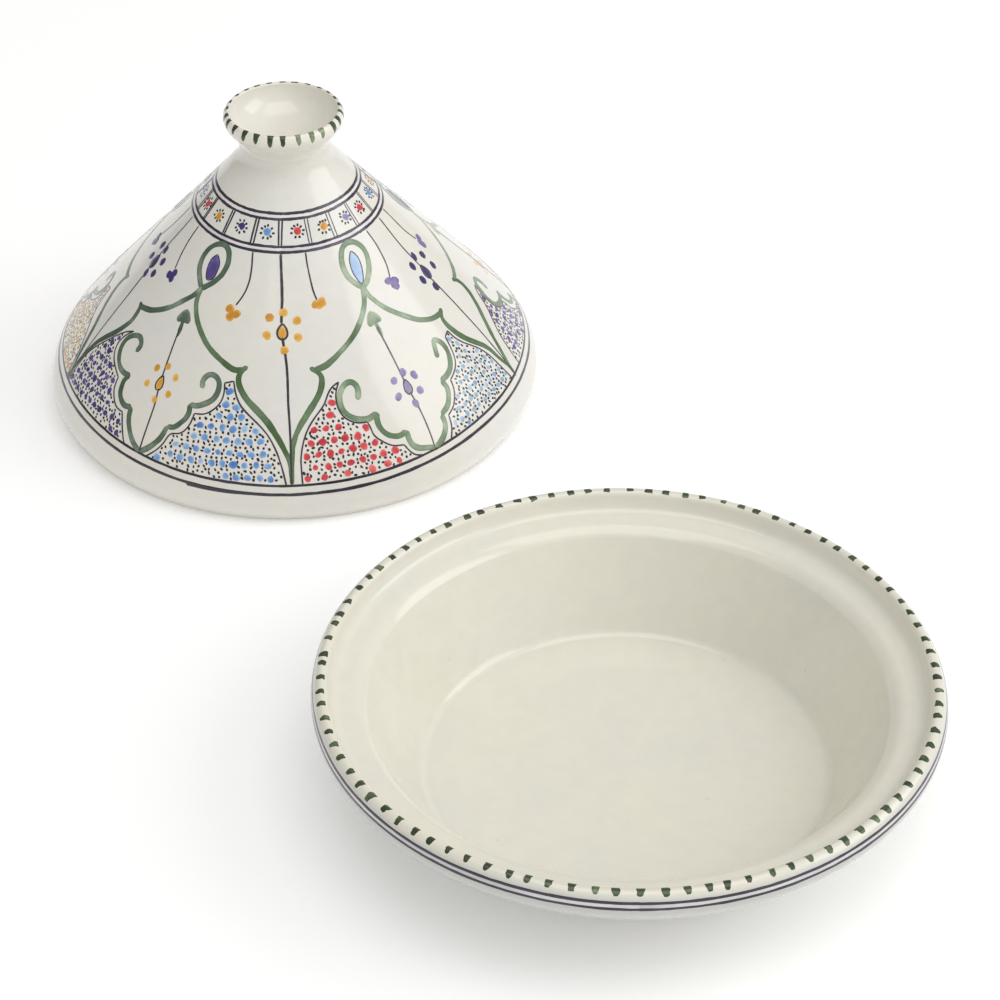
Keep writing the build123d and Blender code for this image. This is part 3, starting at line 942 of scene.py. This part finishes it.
# loops on the left half (axis < 0) take the darker copy of the green: painted shade on that flank
for axis, loop, leaf, kind in loops:
    P = turn(loop, axis)
    (shaded if axis < 0 else strokes).ribbon(P if abs(axis) < 40 else jitter(P, 0.3), 3.4, dens=0.34 if axis == 36 else 0.55,
                                             ragged=0.05, vary=0.12)
    Q = turn(leaf, axis)
    (leaf_dark if kind == "purple" else pale_leaf).shape(Q, dens=0.5 if kind == "pale" else 0.6)
    lines.ribbon(Q, 0.75, dens=0.45 if kind == "pale" else 0.6, ragged=0.08)
# palmettes and their heads on the left half (axis < 0) take the darker copy of the green: painted shade on that flank
for axis, group, stem in palms:
    for i, st in enumerate(group):
        P = turn(st, axis)
        if abs(axis) > 100:
            P = jitter(P, 0.4)
        if i in (2, 5):
            P[-1, 1] = low_line(P[-1, 0], 26.3) + 0.8
            P[-2, 1] = max(P[-2, 1], P[-1, 1] + 2.0)
        (shaded if axis < 0 else strokes).ribbon(P, 3.4, dens=0.52 if axis > 0 else 0.58, ragged=0.05, vary=0.13)
    P = turn(stem, axis)
    P[-1, 1] = low_line(P[-1, 0], 26.3) + 0.8
    lines.ribbon(P, 1.0, dens=0.62 if axis < 0 else 0.34, ragged=0.05)
    off = axis - (-36 if group is palm_l else 36)
    top = (-3.2, 105.6) if group is palm_l else (-0.4, 106.6)
    head = np.array([(0.0, 6.0), (-2.3, 4.6), (-4.3, 1.6), (-4.9, -1.2), (-3.4, -2.6), (-1.5, -1.8), (-1.2, -4.2), (-0.9, -9.0),
                     (0.0, -11.0), (0.9, -9.0), (1.3, -4.2), (1.5, -1.6), (3.5, -2.2), (4.8, -0.8), (4.2, 1.9), (2.3, 4.7)])
    kk = cone.radius(105.0) * math.pi / 180
    # the head lies along the top of its stem
    dx, dy = (P[0] - P[1]) * [kk, 1]
    tilt = math.atan2(-dx, dy)
    (shaded if axis < 0 else strokes).shape(
        [(axis + top[0] + (x * math.cos(tilt) - y * math.sin(tilt)) / kk, top[1] + x * math.sin(tilt) + y * math.cos(tilt))
         for x, y in head], dens=0.62 if group is palm_l else 0.40, step=0.6)


# stems and hanging lines of the arches
def centre_line(axis, top, low, w0=1.45, w1=0.9):
    lines.ribbon(turn(top, axis), w0, dens=0.72, ragged=0.05)
    lines.ribbon(turn(low, axis), w1 * 1.1, dens=0.72, ragged=0.05, w_of=lambda t: 1.15 - 0.35 * t)


centre_line(0, [(-0.7, 151.6), (-0.2, 140.4), (0.2, 128.7), (0.0, 113.4)],
            [(0.35, 106.6), (1.5, 95.4), (2.0, 85.8), (2.1, 71.3), (2.4, 56.9), (2.5, 42.6), (2.5, 27.0)], 1.7, 1.3)
centre_line(72, [(-0.7, 152.0), (-1.4, 143.4), (-2.0, 133.0), (-1.6, 123.2), (-0.9, 113.7)],
            [(-1.6, 111.5), (-0.9, 102.0), (-0.2, 85.6), (0.2, 68.8), (0.3, 50.0), (0.4, 33.0)], 0.95, 0.9)
centre_line(-72, [(-0.5, 152.0), (-0.9, 143.4), (-1.5, 130.9), (-1.5, 121.4)],
            [(-1.2, 117.0), (-0.6, 105.0), (0.0, 88.0), (0.4, 68.8), (1.0, 50.0), (1.3, 36.0)], 0.95, 0.9)
for axis in (144, -144):
    centre_line(axis, jitter([(-0.7, 152.0), (-0.2, 140.4), (0.2, 128.7), (0.0, 116.1)], 0.3),
                jitter([(0.35, 106.6), (1.5, 95.4), (2.0, 85.8), (2.1, 71.3), (2.4, 56.9), (2.5, 42.6), (2.5, 30.0)], 0.3), 1.2, 1.0)
side = {
    0: ([(-17.0, 151.6), (-15.7, 141.1), (-15.9, 133.2), (-17.6, 125.9), (-19.5, 121.0)],
        [(13.5, 151.6), (13.4, 144.2), (13.8, 136.6), (14.3, 130.0), (15.2, 124.9)]),
    72: ([(-16.3, 151.8), (-15.9, 144.1), (-16.8, 135.5), (-18.3, 128.7), (-20.5, 123.0)],
         [(9.1, 152.4), (9.3, 144.7), (9.4, 135.1), (11.3, 126.0)]),
    -72: ([(-12.0, 152.0), (-12.4, 143.5), (-13.4, 134.6), (-15.2, 125.5)],
          [(10.8, 152.1), (11.0, 143.5), (12.6, 133.6), (14.8, 125.5)]),
}
tips = {
    0: ([(-21.8, 119.1), (-18.1, 116.4), (-20.9, 114.0)], [(14.2, 122.6), (17.3, 123.7), (15.9, 122.0)]),
    72: ([(-22.0, 122.7), (-18.4, 120.8), (-20.1, 117.7)], [(14.0, 125.0), (11.5, 122.6), (12.2, 120.2)]),
    -72: ([(-16.3, 124.0), (-13.6, 122.0), (-15.4, 119.8)], [(13.5, 121.0), (16.1, 124.0), (16.2, 120.4)]),
}
for axis in (0, 72, -72, 144, -144):
    key = axis if axis in side else 0
    kind = {0: "orange", 72: "violet", -72: "violet", 144: "lilac", -144: "orange"}[axis]
    for st, tip in zip(side[key], tips[key]):
        lines.ribbon(turn(st, axis), 1.0, dens=0.58, ragged=0.06)
        c = np.mean(tip, 0)
        for a, s in tip:
            petals["lilac" if (axis == 72) else kind].blob(axis + c[0] + 0.85 * (a - c[0]), c[1] + 0.85 * (s - c[1]), 2.5, 2.7,
                                                          rng.uniform(0, 3), dens=1.0 if axis == 72 else 0.62, ragged=0.10)
        petals["lilac" if (axis == 72) else kind].blob(axis + c[0], c[1], 1.8, 1.8, 0, dens=1.0 if axis == 72 else 0.62)


def drop(fill, axis, a, s, w, h, filled=0.6, outlined=True, lean=0.0):
    """A drop on the stem: pointed above and below, round at its waist."""
    t = np.linspace(0, 2 * math.pi, 25)[:-1]
    x = w / 2 * np.sin(t) * (0.80 + 0.2 * np.cos(t))
    y = h / 2 * (-np.cos(t)) * (1 + 0.10 * np.abs(np.cos(t)) ** 8)
    k = cone.radius(s) * math.pi / 180
    xr = x * math.cos(lean) - y * math.sin(lean)
    yr = x * math.sin(lean) + y * math.cos(lean)
    pts = np.stack([axis + a + xr / k, s + yr], 1)
    fill.shape(np.vstack([pts, pts[:1]]), dens=filled, step=0.4)
    if outlined:
        lines.ribbon(np.vstack([pts, pts[:1]]), outlined, dens=0.72, ragged=0.05, step=0.5)


for axis, dots, centre, kind, size in (
    (0, dots_front, drop_front, "orange", 2.4), (72, dots_72, (-0.9, 112.3), "violet", 2.3),
    (-72, dots_m72, (-1.1, 118.4), "violet", 2.3), (144, dots_front, drop_front, "lilac", 2.1),
    (-144, dots_front, drop_front, "orange", 2.1),
):
    for a, s in dots:
        long = 1.25 if kind == "violet" else 1.12
        petals[kind].blob(axis + a, s, size, size * long, 0.15 * rng.normal(),
                          dens=(0.80 if kind == "violet" else 0.55) + 0.08 * rng.normal(), ragged=0.07, seg=16)
    if kind == "violet":
        drop(petals[kind], axis, centre[0], centre[1], 6.8, 8.6, 0.85, 0.6)
    else:
        drop(petals[kind], axis, centre[0], centre[1], 6.3, 7.4, 0.5, 1.6)
for axis, dots, centre, kind, size in (
    (-36, dots_pl, (-1.3, 68.7), "orange", 2.0), (36, dots_pr, (1.1, 66.5), "lilac", 2.25),
    (108, dots_pr, (1.1, 66.5), "orange", 1.8), (180, dots_pl, (-1.3, 68.7), "lilac", 1.9),
    (-108, dots_pl, (-1.3, 68.7), "lilac", 1.9),
):
    for a, s in dots:
        petals[kind].blob(axis + a, s, size, size * 1.12, 0.2 * rng.normal(),
                          dens=(0.66 if kind == "lilac" else 0.5) + 0.08 * rng.normal(), ragged=0.08, seg=14)
    drop(petals[kind], axis, centre[0], centre[1], 5.5, 7.7, 0.55, 0.95)


# stippled fields
def corners_split(P, limit=50.0):
    k = float(np.mean(cone.radius(P[:, 1]))) * math.pi / 180
    Q = P * [k, 1]
    runs, last = [], 0
    for i in range(1, len(P) - 1):
        a, b = Q[i] - Q[i - 1], Q[i + 1] - Q[i]
        ang = math.degrees(abs(math.atan2(a[0] * b[1] - a[1] * b[0], a @ b)))
        if ang > limit:
            runs.append(P[last:i + 1])
            last = i
    runs.append(P[last:])
    return runs


def boundary(P):
    k = float(np.mean(cone.radius(P[:, 1]))) * math.pi / 180
    out = []
    for run in corners_split(P):
        C = spline(run * [k, 1], 0.8) / [k, 1] if len(run) > 1 else run
        out.append(C if not out else C[1:])
    return np.vstack(out)


def inside(poly, x, y):
    c = np.zeros(len(x), bool)
    j = len(poly) - 1
    for i in range(len(poly)):
        (xi, yi), (xj, yj) = poly[i], poly[j]
        hit = ((yi > y) != (yj > y)) & (x < (xj - xi) * (y - yi) / (yj - yi + 1e-12) + xi)
        c ^= hit
        j = i
    return c


def gap(poly, x, y):
    """Distance of each point to the outline."""
    A, B = poly, np.roll(poly, -1, 0)
    D = B - A
    L2 = np.maximum((D**2).sum(1), 1e-9)
    P = np.stack([x, y], 1)[:, None]
    t = np.clip(((P - A) * D).sum(2) / L2, 0, 1)
    return np.min(np.hypot(*np.moveaxis(P - (A + t[..., None] * D), 2, 0)), 1)


for (near, far), by, kind in fields:
    A, B = turn(near, by), turn(far, by)
    for P in (A, B):
        P[-1, 1] = low_line(P[-1, 0], 26.3) + 0.2
        for i in range(len(P) - 2, 0, -1):
            P[i, 1] = max(P[i, 1], P[i + 1, 1] + 0.8)
            if P[i, 1] > P[-1, 1] + 12:
                break
        for run in corners_split(P):
            lines.ribbon(run, 1.0, dens=0.66, ragged=0.06, taper=(0.4, 0.4))
    edge_a, edge_b = boundary(A), boundary(B)
    foot = np.linspace(edge_a[-1, 0], edge_b[-1, 0], 24)[1:-1]
    poly = np.vstack([edge_a, np.stack([foot, low_line(foot, 26.3) + 0.3], 1), edge_b[::-1]])
    # a flat local map of the field, true to size
    mid = (poly[:, 0].min() + poly[:, 0].max()) / 2
    flat = np.stack([(poly[:, 0] - mid) * cone.radius(poly[:, 1]) * math.pi / 180, poly[:, 1]], 1)
    lo, hi = flat.min(0), flat.max(0)
    colour = "pale_blue" if kind == "blue" and mid > 30 else kind
    px, py, dab, tone = grain_of[colour]
    blobs, between = [], []
    row, y = 0, lo[1] + 0.42 * py
    while y < hi[1]:
        x = lo[0] + (0.40 if row % 2 else 0.85) * px + rng.uniform(-0.3, 0.3)
        bow = lambda u: 0.9 * math.sin(u / 17.0)
        while x < hi[0]:
            blobs.append((x + 0.22 * rng.normal(), y + 0.26 * rng.normal() + bow(x)))
            # one speck or two between this dab and the next
            between.append((x + px / 2 + 0.3 * rng.normal(), y - 0.9 + 0.3 * rng.normal() + bow(x)))
            between.append((x + px / 2 + 0.3 * rng.normal(), y + 1.0 + 0.3 * rng.normal() + bow(x)))
            x += px + 0.12 * rng.normal()
        # and a broken line of specks under the next row
        u = lo[0] + rng.uniform(0, 2)
        while u < hi[0]:
            between.append((u, y + py / 2 + 0.45 * rng.normal() + bow(u)))
            if rng.uniform() < 0.5:
                between.append((u + 1.5 + 0.2 * rng.normal(), y + py / 2 + 0.9 * rng.normal() + bow(u)))
            u += 3.1 + 0.35 * rng.normal()
        y += py
        row += 1
    blobs = np.array(blobs)
    ok = inside(flat, blobs[:, 0], blobs[:, 1]) & (gap(flat, blobs[:, 0], blobs[:, 1]) > dab + 0.05)
    kept = [tuple(b) for b in blobs[ok]]
    # a few more dabs in the narrow parts that the rows miss
    trial = np.stack([rng.uniform(lo[0], hi[0], 900), rng.uniform(lo[1], hi[1], 900)], 1)
    g = gap(flat, trial[:, 0], trial[:, 1])
    good = trial[inside(flat, trial[:, 0], trial[:, 1]) & (g > dab - 0.1)]
    for p in good:
        if all(math.hypot(p[0] - q[0], p[1] - q[1]) > 0.93 * px for q in kept):
            kept.append(tuple(p))
    kept = np.array(kept)
    for x, y in kept:
        k = cone.radius(y) * math.pi / 180
        size = dab * (1.0 + 0.07 * rng.normal())
        dabs[colour].blob(mid + x / k, y, size * (1.06 + 0.06 * rng.normal()), size * (1.0 + 0.08 * rng.normal()),
                        rng.uniform(-0.5, 0.5), dens=tone + 0.12 * rng.normal(), ragged=0.10, vary=0.18, seg=14)
    # black specks, mostly in rows, with a few more where a gap is left
    trial = np.stack([rng.uniform(lo[0], hi[0], 2600), rng.uniform(lo[1], hi[1], 2600)], 1)
    trial = np.vstack([np.array(between), trial])
    first = np.arange(len(trial)) < len(between)
    g = gap(flat, trial[:, 0], trial[:, 1])
    ok = inside(flat, trial[:, 0], trial[:, 1]) & (g > 1.0)
    d = np.min(np.hypot(trial[:, None, 0] - kept[None, :, 0], trial[:, None, 1] - kept[None, :, 1]), 1)
    ok &= d > dab + np.where(first, 0.15, 0.45)
    specks = np.zeros((0, 2))
    for p, a_row in zip(trial[ok], first[ok]):
        if len(specks) == 0 or np.min(np.hypot(*(specks - p).T)) > (1.75 if a_row else 2.3):
            specks = np.vstack([specks, p])
    for x, y in specks:
        k = cone.radius(y) * math.pi / 180
        stipple.blob(mid + x / k, y, 0.74 + 0.07 * rng.normal(), 0.98 + 0.12 * rng.normal(),
                     0.5 + 0.5 * rng.normal(), dens=0.70, ragged=0.10, seg=8)

strokes.make(green, "lid", "lid_glaze")
shaded.make(painted_shade_green, "lid", "lid_glaze")
rings.make(ink, "lid", "lid_glaze")
lines.make(ink, "lid", "lid_glaze")
washes.make(wash, "lid", "lid_glaze")
stipple.make(black, "lid", "lid_glaze")
for key, material in (("red", red), ("blue", blue), ("purple", purple), ("orange", orange), ("pale_blue", grey_blue)):
    dabs[key].make(material, "lid", "lid_glaze")
for key, material in (("orange", orange), ("lilac", lilac), ("violet", violet)):
    petals[key].make(material, "lid", "lid_glaze")
pale_leaf.make(pale_blue, "lid", "lid_glaze")
leaf_dark.make(purple, "lid", "lid_glaze")

# =====================================================================
# Rim ticks on the knob and the dish, and the dish's rim lines
# =====================================================================
knob_ticks = Paint("knob_rim_ticks", knob, 0.075)
s_in, s_out = knob.at((29.6, 177.1)), knob.at((32.6, 172.0))
n_ticks = 26
for i in range(n_ticks):
    a = 4.0 + i * 360.0 / n_ticks + 0.6 * rng.normal()
    lean = 0.8 * rng.normal()
    tone = 0.72 + 0.1 * rng.normal()
    # ticks from 12 to 50 degrees, where the knob's rim catches the highlight, are laid much paler: painted highlight
    if 12 < a < 50:
        tone -= 0.42
    knob_ticks.ribbon([(a, s_in), (a + lean * 0.5, (s_in + s_out) / 2), (a + lean, s_out + 0.3 * rng.normal())],
                      3.8 + 0.25 * rng.normal(), dens=tone, taper=(0.10, 0.9), ragged=0.06, step=0.35,
                      w_of=lambda t: np.clip(1.0 - 0.12 * t - 0.48 * t**2.2, 0.1, 1.1))
knob_ticks.make(dark_green, "lid", "lid_glaze")

dish_ticks = Paint("dish_rim_ticks", dish, 0.080)
t_in, t_out = dish.at((143.3, 61.7)), dish.at((147.5, 61.1))
n_ticks = 93
a = 0.0
for i in range(n_ticks):
    a = i * 360.0 / n_ticks + 0.30 * rng.normal()
    lean = 0.25 * rng.normal()
    tone = 0.72 + 0.12 * rng.normal()
    if -20 < ((a + 180) % 360 - 180) < 25:
        tone -= 0.10
    dish_ticks.ribbon([(a, t_in + 0.3 * rng.normal()), (a + lean * 0.5, (t_in + t_out) / 2), (a + lean, t_out + 0.35 * rng.normal())],
                      4.2 + 0.35 * rng.normal(), dens=tone, taper=(0.2, 0.55), ragged=0.07, step=0.35,
                      w_of=lambda t: np.clip(1.0 - 0.34 * t, 0.1, 1.1))
dish_ticks.make(dark_green, "dish", "dish_glaze")


def dish_round(p, r, z, width, dens, n=900, wav=0.07):
    phi = np.arange(n) * 360.0 / n
    a = np.radians(phi)
    s = dish.at((r, z)) + wav * (np.sin(2 * a + z) + 0.8 * np.sin(5 * a + r) + 0.5 * np.sin(13 * a))
    p.ribbon(np.stack([phi, s], 1), width, dens=dens, closed=True, is_fine=True, ragged=0.07, vary=0.14)


dish_lines = Paint("dish_rim_lines", dish, 0.075)
dish_round(dish_lines, 149.2, 58.4, 1.5, 0.74)
dish_round(dish_lines, 149.85, 55.5, 1.5, 0.74)
dish_lines.make(ink, "dish", "dish_glaze")
dish_wash = Paint("dish_rim_wash", dish, 0.045)
dish_round(dish_wash, 149.6, 56.95, 2.6, 0.75, wav=0.03)
dish_wash.make(grey_wash, "dish", "dish_glaze")

# =====================================================================
# Floor, light and camera
# =====================================================================
floor_mesh = bpy.data.meshes.new("studio_floor")
F = 9.0
n = 24
fv = [((i / n - 0.5) * 2 * F, (j / n - 0.5) * 2 * F, -0.0002) for j in range(n + 1) for i in range(n + 1)]
ff = [(j * (n + 1) + i, j * (n + 1) + i + 1, (j + 1) * (n + 1) + i + 1, (j + 1) * (n + 1) + i) for j in range(n) for i in range(n)]
floor_mesh.from_pydata(fv, [], ff)
floor = bpy.data.objects.new("studio_floor", floor_mesh)
bpy.context.scene.collection.objects.link(floor)
fm = bpy.data.materials.new("studio_paper")
fm.use_nodes = True
nt = fm.node_tree
fp = nt.nodes["Principled BSDF"]
fn = node(nt, "ShaderNodeTexNoise", -500, 0, Scale=3.0, Detail=2.0)
fr = ramp(nt, -250, 0, [(0.3, (250, 250, 250)), (0.7, (254, 254, 254))])
nt.links.new(fn.outputs["Fac"], fr.inputs[0])
nt.links.new(fr.outputs[0], fp.inputs["Base Color"])
fp.inputs["Roughness"].default_value = 0.95
fp.inputs["Specular IOR Level"].default_value = 0.0
fp.inputs["Emission Color"].default_value = (1, 1, 1, 1)
fp.inputs["Emission Strength"].default_value = 0.14
floor_mesh.materials.append(fm)

scene = bpy.context.scene
scene.view_settings.view_transform = "Standard"
scene.view_settings.look = "None"
scene.view_settings.exposure = 0.0
ROOM, ROOM_TILT = 0.54, 0.30
world = bpy.data.worlds.new("studio")
scene.world = world
world.use_nodes = True
wt = world.node_tree
bg = wt.nodes["Background"]
bg.inputs[0].default_value = (1.0, 0.995, 0.985, 1)
# the room: a smooth dome, brighter to the right and in front, dimmer behind on the left
wc = node(wt, "ShaderNodeTexCoord", -900, 0)
wd = node(wt, "ShaderNodeVectorMath", -650, 0)
wd.operation = "DOT_PRODUCT"
wd.inputs[1].default_value = (0.78, -0.45, 0.43)
wt.links.new(wc.outputs["Generated"], wd.inputs[0])
wm = node(wt, "ShaderNodeMath", -400, 0)
wm.operation = "MULTIPLY_ADD"
wm.inputs[1].default_value, wm.inputs[2].default_value = ROOM_TILT, ROOM
wt.links.new(wd.outputs["Value"], wm.inputs[0])
wt.links.new(wm.outputs[0], bg.inputs[1])


def softbox(name, place, aim, w, h, power, colour=(1, 1, 1)):
    d = bpy.data.lights.new(name, "AREA")
    d.shape, d.size, d.size_y, d.energy, d.color = "RECTANGLE", w, h, power, colour
    o = bpy.data.objects.new(name, d)
    scene.collection.objects.link(o)
    v = np.array(aim, float) - np.array(place, float)
    o.location = place
    o.visible_camera = False
    dist = float(np.linalg.norm(v))
    o.rotation_euler = (math.acos(-v[2] / dist), 0, math.atan2(v[1], v[0]) - math.pi / 2)
    return o


softbox("key_right", (2.4, 0.0, 1.75), (0, 0.15, 0.05), 2.2, 1.7, 21, (1.0, 0.99, 0.975))
softbox("overhead", (0.1, -0.35, 2.7), (0, 0.1, 0), 2.4, 2.0, 21)

cam = bpy.data.cameras.new("camera")
cam.sensor_width = 36.0
cam.lens = 104.4
cam.clip_end = 60.0
camera = bpy.data.objects.new("camera", cam)
scene.collection.objects.link(camera)
camera.location = (-0.0606, -1.0453, 0.9453)
camera.rotation_euler = (math.radians(53.22), 0, 0)
scene.camera = camera
